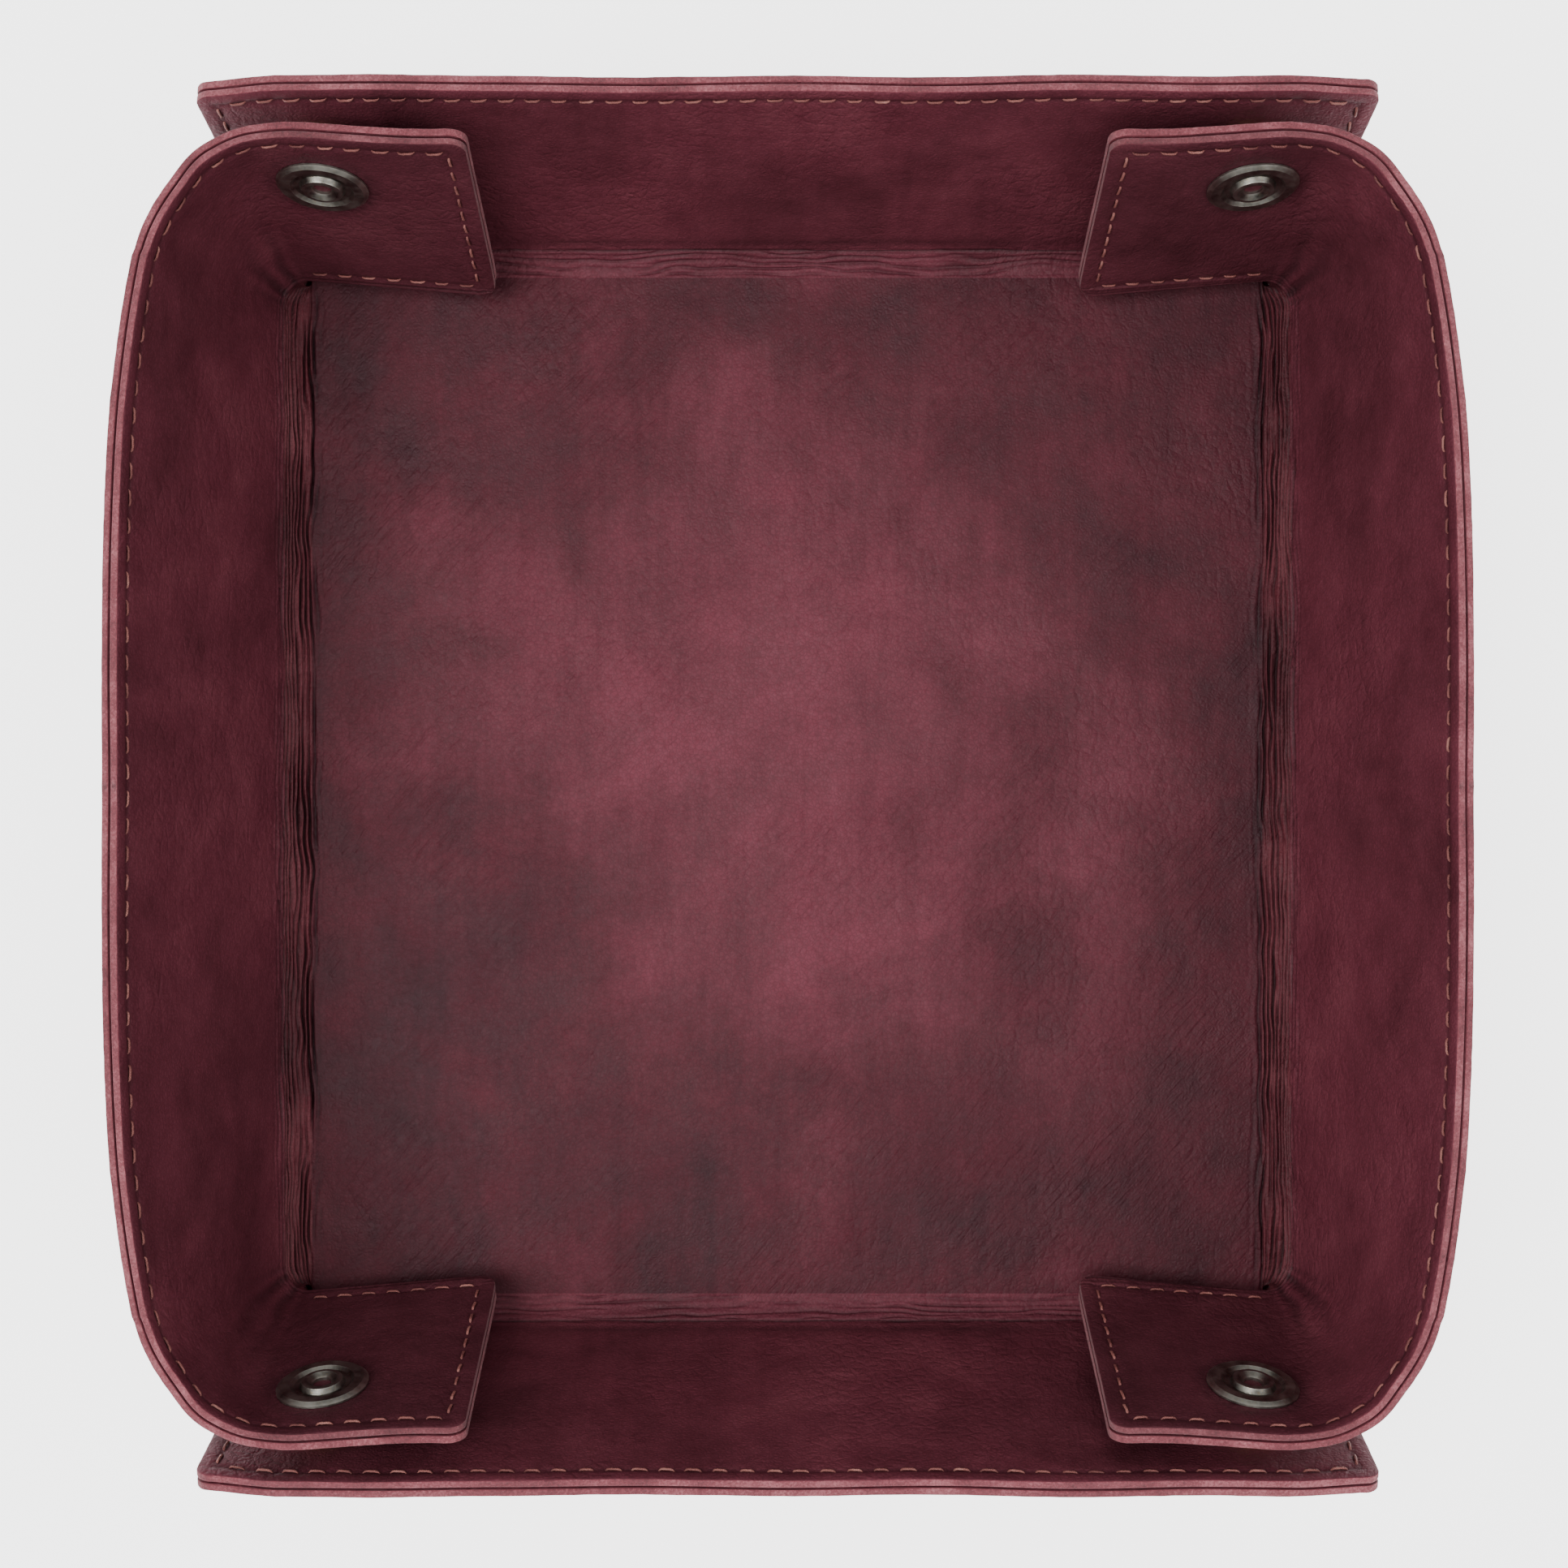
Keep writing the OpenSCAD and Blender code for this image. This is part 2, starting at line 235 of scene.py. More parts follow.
def end_wall(x, v):
    """Middle of the back wall and its inward direction. x runs along it and v up its slope."""
    x, v = np.broadcast_arrays(np.asarray(x, float), np.asarray(v, float))
    z = PLY + v * math.cos(LEAN_FB)
    p = np.stack([x, FLOOR_D / 2 + v * math.sin(LEAN_FB), z], -1)
    share = height_share(z)
    p[..., 1] -= EAR_DRAW * share * smooth((abs(x) - EAR_START) / (WALL_HALF - EAR_START))
    near = np.minimum(np.hypot(x - SNAP_X, v - SNAP_S), np.hypot(x + SNAP_X, v - SNAP_S))
    p = p + N_BACK * (0.3 * share * smooth((near - 9) / 12) * noise(x / 19, v / 24, 0, 9))[..., None]
    return p, tile(N_BACK, x)


def end_half(v):
    sloped = WALL_HALF_LOW + (WALL_HALF - WALL_HALF_LOW) * (v - LOW_FB) / (RELIEF_H - LOW_FB)
    return np.where(v < RELIEF_H, sloped, WALL_HALF)


# ---------------------------------------------------------------- mesh making

def grid_faces(n, m, offset):
    i, j = np.meshgrid(np.arange(n - 1), np.arange(m - 1), indexing="ij")
    a = (i * m + j + offset).ravel()
    return np.stack([a, a + m, a + m + 1, a + 1], -1)


def make_mesh(name, points, faces, kinds, mirror, ring=None, shade=None, materials=()):
    """A mesh object from millimetres. mirror is (x sign, y sign)."""
    points = points * np.array([mirror[0], mirror[1], 1.0])
    if mirror[0] * mirror[1] < 0:
        faces = faces[:, ::-1]
    mesh = bpy.data.meshes.new(name)
    mesh.vertices.add(len(points))
    mesh.vertices.foreach_set("co", (points * MM).astype(np.float32).ravel())
    mesh.loops.add(faces.size)
    mesh.loops.foreach_set("vertex_index", faces.astype(np.int32).ravel())
    mesh.polygons.add(len(faces))
    mesh.polygons.foreach_set("loop_start", np.arange(0, faces.size, faces.shape[1], dtype=np.int32))
    mesh.polygons.foreach_set("material_index", kinds.astype(np.int32))
    mesh.polygons.foreach_set("use_smooth", np.ones(len(faces), bool))
    for m in materials:
        mesh.materials.append(m)
    mesh.update(calc_edges=True)
    if ring is not None:
        pairs = np.zeros(len(mesh.edges) * 2, np.int32)
        mesh.edges.foreach_get("vertices", pairs)
        wanted = {(min(a, b), max(a, b)) for a, b in ring.tolist()}
        sharp = mesh.attributes.new("sharp_edge", "BOOLEAN", "EDGE")
        marks = [(min(a, b), max(a, b)) in wanted for a, b in pairs.reshape(-1, 2).tolist()]
        sharp.data.foreach_set("value", np.array(marks))
    rest = mesh.attributes.new("rest", "FLOAT_VECTOR", "POINT")
    rest.data.foreach_set("vector", points.astype(np.float32).ravel())
    # Per-point painted shade, darker in grooves, creases and round each snap
    cavity = mesh.attributes.new("cavity", "FLOAT", "POINT")
    depth = np.zeros(len(points)) if shade is None else shade
    cavity.data.foreach_set("value", depth.astype(np.float32))
    obj = bpy.data.objects.new(name, mesh)
    bpy.context.scene.collection.objects.link(obj)
    return obj


def ply_sheet(name, which, p, n, edge, mirror, top_off=0.0, low_off=0.0, shade=None, materials=()):
    """One ply as a closed sheet. p and n are the middle of the leather and its inward direction on a
    grid, and edge is the distance to the nearest free edge."""
    lo, hi = (0.0, PLY) if which == "inner" else (-PLY, 0.0)
    half, mid = (hi - lo) / 2, (hi + lo) / 2
    t = np.clip(edge / CUT_R, 0, 1)
    arc = np.sqrt(1 - (1 - t) ** 2)
    fuzz = 0.05 * (1 - t) * noise(p[..., 0] / 0.9, p[..., 1] / 0.9, p[..., 2] / 0.9, 17)
    body, inside = half * (0.70 + 0.30 * arc) + fuzz, half * (0.42 + 0.58 * arc)
    groove = -0.17 * np.exp(-((edge - SEAM_INSET) / 0.5) ** 2)
    seam = groove + 0.07 * np.exp(-((edge - 1.1) / 0.7) ** 2)
    if which == "inner":
        face, back = mid + body + seam + top_off, mid - inside
    else:
        face, back = mid + inside, mid - body - seam + low_off
    rows, cols = edge.shape
    top = (p + n * face[..., None]).reshape(-1, 3)
    low = (p + n * back[..., None]).reshape(-1, 3)
    size = rows * cols
    top_faces = grid_faces(rows, cols, 0)
    low_faces = grid_faces(rows, cols, size)[:, ::-1]
    ring = np.concatenate([
        np.arange(cols), np.arange(2, rows + 1) * cols - 1,
        (rows - 1) * cols + np.arange(cols - 2, -1, -1), np.arange(rows - 2, 0, -1) * cols])
    nxt = np.roll(ring, -1)
    side = np.stack([ring, nxt, nxt + size, ring + size], -1)
    # Rounded edge strips beside the cut take the cut's material too
    cut_band = (edge.reshape(-1) < 0.1)
    faces = np.concatenate([top_faces, low_faces, side])
    kinds = np.concatenate([
        np.where(cut_band[top_faces].all(1), 1, 0),
        np.where(cut_band[low_faces - size].all(1), 1, 0),
        np.ones(len(side), int)])
    # Painted shade darkens the seam's groove and the creases, on both faces
    dark = np.exp(-((edge - SEAM_INSET) / 0.45) ** 2) * 0.45
    if shade is not None:
        dark = np.maximum(dark, shade)
    dark = np.concatenate([dark.reshape(-1), dark.reshape(-1)])
    points = np.concatenate([top, low])
    around = np.stack([ring, nxt], -1)
    around = np.concatenate([around, around + size])
    return make_mesh(name, points, faces, kinds, mirror, around, dark, materials)


# ---------------------------------------------------------------- materials

def linear(rgb):
    shares = [c / 255 for c in rgb]
    return [c / 12.92 if c <= 0.04045 else ((c + 0.055) / 1.055) ** 2.4 for c in shares] + [1.0]


class Nodes:
    """A material's node tree. A key such as i0 is an input by number, and _name a node's own setting."""

    def __init__(self, name):
        self.mat = bpy.data.materials.new(name)
        self.mat.use_nodes = True
        self.tree = self.mat.node_tree
        self.bsdf = self.tree.nodes["Principled BSDF"]

    def new(self, kind, **inputs):
        node = self.tree.nodes.new("ShaderNode" + kind)
        for key, value in inputs.items():
            if key.startswith("_"):
                setattr(node, key[1:], value)
        for key, value in inputs.items():
            if not key.startswith("_"):
                self.put(node, key, value)
        return node

    def put(self, node, key, value):
        numbered = key[0] == "i" and key[1:].isdigit()
        socket = node.inputs[int(key[1:]) if numbered else key.replace("__", " ")]
        if isinstance(value, bpy.types.NodeSocket):
            self.tree.links.new(value, socket)
        else:
            socket.default_value = value

    def math(self, op, a, b=0.0, clamp=False):
        return self.new("Math", _operation=op, _use_clamp=clamp, i0=a, i1=b).outputs[0]

    def rest(self, scale, stretch=(1, 1, 1)):
        at = self.new("Attribute", _attribute_name="rest").outputs["Vector"]
        return self.new("Mapping", i0=at, i3=tuple(s * scale for s in stretch)).outputs[0]

    def noise(self, where, detail=3.0, rough=0.55, distortion=0.0):
        return self.new("TexNoise", Vector=where, Scale=1.0, Detail=detail, Roughness=rough,
                        Distortion=distortion).outputs[0]

    def ramp(self, fac, stops):
        node = self.new("ValToRGB", Fac=fac)
        ramp = node.color_ramp
        while len(ramp.elements) < len(stops):
            ramp.elements.new(0.5)
        for element, (at, colour) in zip(ramp.elements, stops):
            element.position = at
            element.color = colour
        return node.outputs[0]

    def mix(self, fac, a, b, blend="MIX"):
        node = self.new("Mix", _data_type="RGBA", _blend_type=blend)
        self.put(node, "i0", fac)
        self.put(node, "i6", a)
        self.put(node, "i7", b)
        return node.outputs[2]

    def fit(self, value, a, b, c, d):
        return self.new("MapRange", Value=value, i1=a, i2=b, i3=c, i4=d).outputs[0]

    def bump(self, height, strength, distance, under=None):
        node = self.new("Bump", Strength=strength, Distance=distance, Height=height)
        if under is not None:
            self.put(node, "Normal", under)
        return node.outputs[0]


def leather(name, deep, body, light, patch_and_light_pool=None):
    k = Nodes(name)
    cavity = k.new("Attribute", _attribute_name="cavity").outputs["Fac"]
    cloudy = k.noise(k.rest(1 / 30), 4.0, 0.6, 0.6)
    blotch = k.noise(k.rest(1 / 9), 5.0, 0.62)
    streak = k.noise(k.rest(1.0, (1 / 2.4, 1 / 26, 1 / 26)), 4.0, 0.6)
    fine = k.noise(k.rest(1 / 0.7), 4.0, 0.7)
    amount = k.math("ADD", k.math("MULTIPLY", cloudy, 0.62), k.math("MULTIPLY", blotch, 0.38))
    if patch_and_light_pool:
        # The middle of the floor is paler, partly from pull-up in the hide and partly as a painted pool of light,
        # and fades unevenly
        at = k.new("Attribute", _attribute_name="rest").outputs["Vector"]
        warp = k.new("TexNoise", Vector=k.rest(1 / 24), Scale=1.0, Detail=4.0).outputs[1]
        moved = k.new("VectorMath", _operation="MULTIPLY_ADD", i0=warp, i1=(46, 46, 0), i2=at).outputs[0]
        shifted = k.new("Mapping", i0=moved, i1=(-patch_and_light_pool[0] - 23, -patch_and_light_pool[1] - 23, 0)).outputs[0]
        scaled = k.new("Mapping", i0=shifted, i3=(1 / patch_and_light_pool[2], 1 / patch_and_light_pool[3], 0)).outputs[0]
        far = k.new("VectorMath", _operation="LENGTH", i0=scaled).outputs["Value"]
        glow = k.fit(far, 0.15, 1.15, 0.30, 0.0)
        amount = k.math("ADD", k.math("SUBTRACT", amount, 0.06), glow)
    amount = k.math("ADD", amount, k.math("MULTIPLY", k.math("SUBTRACT", streak, 0.5), 0.17))
    colour = k.ramp(amount, [(0.30, linear(deep)), (0.52, linear(body)), (0.80, linear(light))])
    cells = k.new("TexVoronoi", _feature="DISTANCE_TO_EDGE", Vector=k.rest(1 / 0.62), Scale=1.0).outputs[0]
    cracks = k.fit(cells, 0.0, 0.16, 1.0, 0.0)
    colour = k.mix(k.math("MULTIPLY", cracks, 0.22), colour, linear([c * 0.55 for c in deep]))
    paler = linear([min(255, c * 1.12) for c in light])
    colour = k.mix(k.fit(fine, 0.35, 0.75, 0.0, 0.35), colour, paler, "SOFT_LIGHT")
    # Painted shade darkens the grooves and creases
    colour = k.mix(k.math("MULTIPLY", cavity, 0.8), colour, linear([c * 0.32 for c in deep]))
    k.put(k.bsdf, "Base Color", colour)
    matt = k.math("ADD", k.math("MULTIPLY", blotch, 0.6), k.math("MULTIPLY", fine, 0.4))
    k.put(k.bsdf, "Roughness", k.fit(matt, 0.3, 0.7, 0.50, 0.74))
    k.put(k.bsdf, "Specular IOR Level", 0.24)
    # Slanting wrinkles and coarser pebbles come and go over the hide
    turned = k.new("Mapping", i0=k.rest(1.0), i2=(0, 0, 0.7)).outputs[0]
    drawn_out = k.new("Mapping", i0=turned, i3=(1 / 1.1, 1 / 6.5, 1 / 3)).outputs[0]
    folds = k.noise(drawn_out, 4.0, 0.6, 0.8)
    pebble = k.new("TexVoronoi", _feature="DISTANCE_TO_EDGE", Vector=k.rest(1 / 1.9, (1, 0.75, 1)),
                   Scale=1.0).outputs[0]
    zone = k.fit(k.noise(k.rest(1 / 22), 3.0), 0.44, 0.62, 0.0, 1.0)
    other = k.fit(k.noise(k.rest(1 / 31), 2.0), 0.42, 0.60, 0.0, 1.0)
    grain = k.bump(k.math("MULTIPLY", cells, 2.0), 0.6, 0.00009)
    creases = k.bump(fine, 0.6, 0.0001, grain)
    wrinkled = k.bump(k.math("MULTIPLY", folds, zone), 0.8, 0.00045, creases)
    rounds = k.math("MULTIPLY", k.fit(pebble, 0.0, 0.22, 0.0, 1.0), other)
    pebbled = k.bump(rounds, 0.6, 0.00012, wrinkled)
    lumps = k.bump(k.noise(k.rest(1 / 3.5), 3.0, 0.5), 0.5, 0.00022, pebbled)
    k.put(k.bsdf, "Normal", lumps)
    return k.mat


def cut_edge():
    k = Nodes("leather_cut_edge")
    fibre = k.noise(k.rest(1 / 0.35), 5.0, 0.75)
    wave = k.noise(k.rest(1 / 5.0), 3.0, 0.55)
    cavity = k.new("Attribute", _attribute_name="cavity").outputs["Fac"]
    amount = k.math("ADD", k.math("MULTIPLY", fibre, 0.6), k.math("MULTIPLY", wave, 0.4))
    colour = k.ramp(amount, [(0.32, linear((82, 26, 36))), (0.50, linear((136, 62, 72))),
                             (0.70, linear((196, 118, 126)))])
    # Painted shade darkens the cut edge where the seam's groove and the creases meet it
    colour = k.mix(cavity, colour, linear((60, 24, 30)))
    k.put(k.bsdf, "Base Color", colour)
    k.put(k.bsdf, "Roughness", k.fit(fibre, 0.3, 0.7, 0.78, 0.95))
    k.put(k.bsdf, "Sheen Weight", 0.15)
    k.put(k.bsdf, "Normal", k.bump(fibre, 1.0, 0.00030))
    return k.mat


def thread_material():
    k = Nodes("waxed_thread")
    twist = k.new("TexWave", _bands_direction="DIAGONAL", Vector=k.rest(2.2), Scale=1.0, Distortion=1.2,
                  Detail=2.0).outputs[1]
    tone = k.noise(k.rest(1 / 4.0), 3.0)
    colour = k.ramp(tone, [(0.30, linear((100, 52, 50))), (0.55, linear((148, 90, 84))),
                           (0.75, linear((188, 130, 120)))])
    # Painted shade darkens the grooves between the twisted strands
    colour = k.mix(k.fit(twist, 0.0, 0.5, 0.55, 0.0), colour, linear((92, 44, 44)))
    k.put(k.bsdf, "Base Color", colour)
    k.put(k.bsdf, "Roughness", k.fit(twist, 0.0, 1.0, 0.62, 0.48))
    k.put(k.bsdf, "Normal", k.bump(twist, 0.7, 0.00008))
    return k.mat


def metal(name, dark, light, warm, scratch):
    k = Nodes(name)
    at = k.new("TexCoord").outputs["Object"]
    big = k.new("TexNoise", Vector=at, Scale=420.0, Detail=5.0, Roughness=0.65).outputs[0]
    fine = k.new("TexNoise", Vector=at, Scale=3600.0, Detail=4.0, Roughness=0.7).outputs[0]
    brushed = k.new("Mapping", i0=at, i3=(900, 5200, 900)).outputs[0]
    lines = k.new("TexNoise", Vector=brushed, Scale=1.0, Detail=3.0).outputs[0]
    colour = k.ramp(big, [(0.32, linear(dark)), (0.60, linear(light))])
    colour = k.mix(k.fit(fine, 0.52, 0.72, 0.0, 0.55), colour, linear(warm))
    edges = k.new("NewGeometry").outputs["Pointiness"]
    colour = k.mix(k.fit(edges, 0.52, 0.62, 0.0, 0.6), colour, linear([min(255, c * 1.6) for c in light]))
    k.put(k.bsdf, "Base Color", colour)
    k.put(k.bsdf, "Metallic", 1.0)
    rough = k.math("ADD", k.math("MULTIPLY", big, 0.5), k.math("MULTIPLY", lines, 0.5))
    k.put(k.bsdf, "Roughness", k.fit(rough, 0.3, 0.7, 0.26, 0.5))
    k.put(k.bsdf, "Normal", k.bump(k.math("ADD", lines, fine), 0.35, scratch))
    return k.mat


FLOOR_LEATHER = leather("leather_floor", (54, 20, 29), (80, 30, 41), (112, 52, 65), (2, 8, 62, 74))
# A lighter copy of the same hide, painting light onto the walls, end folds and strips
WALL_LEATHER_PAINTED_LIGHTER = leather("leather_walls_painted_lighter", (74, 31, 40), (100, 45, 57), (124, 63, 74))
# A paler copy of the same hide for the side folds, so their crests stand as painted highlights against the
# painted shade in the grooves
FOLD_LEATHER_PAINTED_HIGHLIGHTS = leather("leather_folds_painted_highlights", (54, 20, 27), (92, 38, 47), (132, 74, 81))
OUTER_LEATHER = leather("leather_outside", (56, 17, 25), (80, 28, 38), (102, 44, 53))
CUT = cut_edge()
THREAD = thread_material()
GUNMETAL = metal("snap_gunmetal", (66, 64, 61), (136, 134, 127), (140, 122, 88), 0.00003)
# A darker copy of the snap gunmetal for the outer caps, painted darker so they mirror less of the bright stage
CAP_METAL_PAINTED_DARKER = metal("cap_gunmetal_painted_darker", (44, 43, 40), (92, 90, 84), (120, 100, 64), 0.00003)
BRASS = metal("snap_antique_brass", (74, 58, 36), (148, 122, 80), (178, 152, 102), 0.00003)


# ---------------------------------------------------------------- leather pieces

CORNERS = {"back_left": (1, 1), "back_right": (-1, 1), "front_left": (1, -1), "front_right": (-1, -1)}
SHEETS, THREADS = {}, {}


def ridges(across, along, width, seed, count):
    """Height of a creased fold from -1 to 0, and how deep each point is, which darkens the fold as painted shade.
    across runs 0 to width.
    """
    pitch = width / count
    drift = 0.95 * noise(along / 13, across / 7, 0, seed)
    drift = drift + 0.42 * noise(along / 4.2, across / 1.7, 0, seed + 1)
    wave = np.abs(np.sin(math.pi * (across / pitch + drift)))
    fade = np.clip(0.78 + 0.75 * noise(along / 9, across / 1.1, 0, seed + 2), 0.12, 1.25)
    fine = (1 - np.abs(noise(along / 5.5, across / 0.42, 0, seed + 3))) ** 3
    deep = (1 - wave ** 0.75) * fade
    return deep + 0.20 * fine, np.clip(deep * 1.35 + 0.22 * fine, 0, 1)


def floor_pieces():
    hx, hy = FLOOR_W / 2 - fold_start(LEAN_LR), FLOOR_D / 2 - fold_start(LEAN_FB)
    xs, ys = spacing(2 * hx, 1.2, True, True) - hx, np.linspace(-hy, hy, 150)
    x, y = np.meshgrid(xs, ys, indexing="ij")
    p = np.stack([x, y, np.full_like(x, PLY)], -1)
    n = tile(vec(0, 0, 1), x)
    edge = np.full_like(x, FAR)
    inside = smooth(np.minimum(hx - abs(x), hy - abs(y)) / 12)
    gone = hx - abs(x)
    deep_l, dark_l = ridges(-gone, y, FOLD_BAND, SIDE_SEEDS["left"], SIDE_CREASES)
    deep_r, dark_r = ridges(-gone, y, FOLD_BAND, SIDE_SEEDS["right"], SIDE_CREASES)
    deep, dark = np.where(x < 0, deep_l, deep_r), np.where(x < 0, dark_l, dark_r)
    foot = np.exp(-(gone / 1.3) ** 2) * (1 - smooth((abs(y) - side_end(LOW_LR)) / 8))
    creased = (FOLD_SWELL - FOLD_DEPTH * deep) * foot
    swell = inside * (0.16 * noise(x / 21, y / 24, 0, 31) + 0.05 * noise(x / 6, y / 8, 0, 32))
    # The inner ply's creases along the side folds carry painted shade
    for which, body in (("inner", FLOOR_LEATHER), ("outer", OUTER_LEATHER)):
        o = ply_sheet(f"floor_{which}", which, p, n, edge, (1, 1),
                      top_off=swell + creased if which == "inner" else 0.0,
                      shade=dark * foot if which == "inner" else None, materials=(body, CUT))
        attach(o, "floor")
        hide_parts(f"floor_{which}_leather")
        SHEETS[o.name] = (o, 2 * hx, 2 * hy, None)


def hermite(p0, p1, t0, t1, length, t):
    t = t[..., None]
    return ((2 * t ** 3 - 3 * t ** 2 + 1) * p0 + (t ** 3 - 2 * t ** 2 + t) * t0 * length
            + (-2 * t ** 3 + 3 * t ** 2) * p1 + (t ** 3 - t ** 2) * t1 * length)


def fold_grid(bottom, out, top, up, across):
    """Surface from the floor's edge up to a wall's foot. bottom and top are rows of points."""
    b, o, q, u = (a[:, None, :] for a in (bottom, out, top, up))
    t = np.broadcast_to(across[None, :], (len(bottom), len(across)))
    chord = np.linalg.norm(top - bottom, axis=1)[:, None, None]
    p = hermite(b, q, o, u, 1.13 * chord, t)
    along = np.gradient(p, axis=0)
    over = np.gradient(p, axis=1)
    n = np.cross(along, over)
    n /= np.linalg.norm(n, axis=-1, keepdims=True)
    return p, n


def end_fold(wall, mirror):
    bottom_half = FLOOR_W / 2 - fold_start(LEAN_LR)
    f = np.linspace(-1, 1, 260)
    y0 = FLOOR_D / 2 - fold_start(LEAN_FB)
    reach = np.sign(f) * FOLD_REACH * np.clip((abs(f) - 0.95) / 0.05, 0, 1)
    bottom = np.stack([f * bottom_half + reach, np.full_like(f, y0), np.full_like(f, PLY)], -1)
    top, _ = end_wall(f * WALL_HALF_LOW + 0.5 * reach, LOW_FB)
    up = unit(vec(0, math.sin(LEAN_FB), math.cos(LEAN_FB)))
    across = np.linspace(0, 1, 44)
    p, n = fold_grid(bottom, tile(vec(0, 1, 0), f), top, tile(up, f), across)
    if n[10, 10, 2] < 0:
        n = -n
    a = np.broadcast_to(across[None, :] * FOLD_BAND, p.shape[:2])
    x = p[..., 0]
    deep, dark = ridges(a, x, FOLD_BAND, END_SEEDS[wall], END_CREASES)
    # One sharp line runs along the fold, near the wall
    line = np.exp(-((a - 5.4 - 0.25 * noise(x / 14, 0.5, 0, 66)) / 0.26) ** 2)
    line = line * (0.8 + 0.2 * noise(x / 6, 0, 0, 67))
    ends = smooth(np.minimum(a, FOLD_BAND - a) / 0.9)
    drop = (0.34 * deep + 0.42 * line) * ends
    # Painted shade darkens the creases and the sharp line
    shade = np.clip(np.maximum(0.5 * dark, line), 0, 1) * ends
    edge = np.broadcast_to((bottom_half * (1 - abs(f)))[:, None], a.shape)
    build_fold(wall, mirror, p, n, edge, -drop, shade, WALL_LEATHER_PAINTED_LIGHTER)


def side_fold(wall, mirror):
    """A side fold with the gathers at its two corners, made as the left one."""
    y0 = FLOOR_D / 2 - fold_start(LEAN_FB)
    x0 = -(FLOOR_W / 2 - fold_start(LEAN_LR))
    straight_end = float(side_end(LOW_LR))
    s = np.linspace(1, 2, 46)
    bend_p, _ = strip(s, z_low(s))
    higher, _ = strip(s, z_low(s) + 1.0)
    ys = np.linspace(0, straight_end, 150)[:-1]
    wall_p, _ = strip(ys / side_end(LOW_LR), Z_LOW_SIDE)
    wall_q, _ = strip(ys / side_end((Z_LOW_SIDE + 1.0 - PLY) / math.cos(LEAN_LR)), Z_LOW_SIDE + 1.0)
    top = np.concatenate([wall_p, bend_p])
    up = np.concatenate([wall_q, higher]) - top
    up /= np.linalg.norm(up, axis=1, keepdims=True)
    f = np.linspace(0, 1, len(s))
    bottom = np.concatenate([
        np.stack([np.full_like(ys, x0), ys, np.full_like(ys, PLY)], -1),
        np.stack([np.full_like(f, x0), straight_end + (y0 - straight_end) * f ** 0.8,
                  np.full_like(f, PLY)], -1)])
    # Mirrored onto the other half, so the fold is one piece from corner to corner
    other_half = np.array([1, -1, 1.0])
    bottom, top, up = (np.concatenate([a[:0:-1] * other_half, a]) for a in (bottom, top, up))
    out = top - bottom
    out[:, 2] = 0
    out[:, 0] = np.minimum(out[:, 0], -0.4)
    out /= np.linalg.norm(out, axis=1, keepdims=True)
    across = np.linspace(0, 1, 58)
    p, n = fold_grid(bottom, out, top, up, across)
    if n[len(n) // 2, 20, 2] < 0:
        n = -n
    run = np.concatenate([[0], np.cumsum(np.linalg.norm(np.diff(top, axis=0), axis=1))])
    run -= run[-1] / 2
    a = np.broadcast_to(across[None, :] * FOLD_BAND, p.shape[:2])
    along = np.broadcast_to(run[:, None], a.shape)
    deep, dark = ridges(a, along, FOLD_BAND, SIDE_SEEDS[wall], SIDE_CREASES)
    gather = smooth((abs(along) - straight_end) / 8)
    pucker = gather * (0.5 - 0.5 * np.cos(2 * math.pi * (abs(along) - straight_end) / 3.4))
    quiet = 1 - gather * smooth((across[None, :] - 0.8) / 0.2)
    creased = (FOLD_DEPTH * deep - FOLD_SWELL) * (1 - gather)
    drop = (creased + 0.4 * pucker * smooth(a / 0.8)) * quiet
    # Painted shade darkens the creases and the puckers at the corners
    shade = np.clip(dark * (1 - 0.6 * gather) + 0.5 * pucker, 0, 1)
    edge = np.broadcast_to((run[-1] - abs(run))[:, None], a.shape)
    build_fold(wall, mirror, p, n, edge, -drop, shade, FOLD_LEATHER_PAINTED_HIGHLIGHTS)


def build_fold(wall, mirror, p, n, edge, drop, shade, hide):
    """Both plies of a fold, which bend between the floor and the wall. drop is below zero in a crease."""
    off_table = smooth((p[..., 2] - PLY) / 1.5)
    for which in ("inner", "outer"):
        edge_far = edge + np.where(edge > 0.5, FAR, 0.0)
        # The inner ply takes the painted shade, the outer ply half of it
        o = ply_sheet(f"{wall}_fold_{which}", which, p, n, edge_far, mirror,
                      top_off=drop if which == "inner" else 0.0,
                      low_off=0.35 * np.clip(-drop, 0, None) * off_table if which == "outer" else 0.0,
                      shade=shade if which == "inner" else 0.5 * shade,
                      materials=(hide if which == "inner" else OUTER_LEATHER, CUT))
        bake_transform(o)
        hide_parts(f"{wall}_fold_{which}_leather")


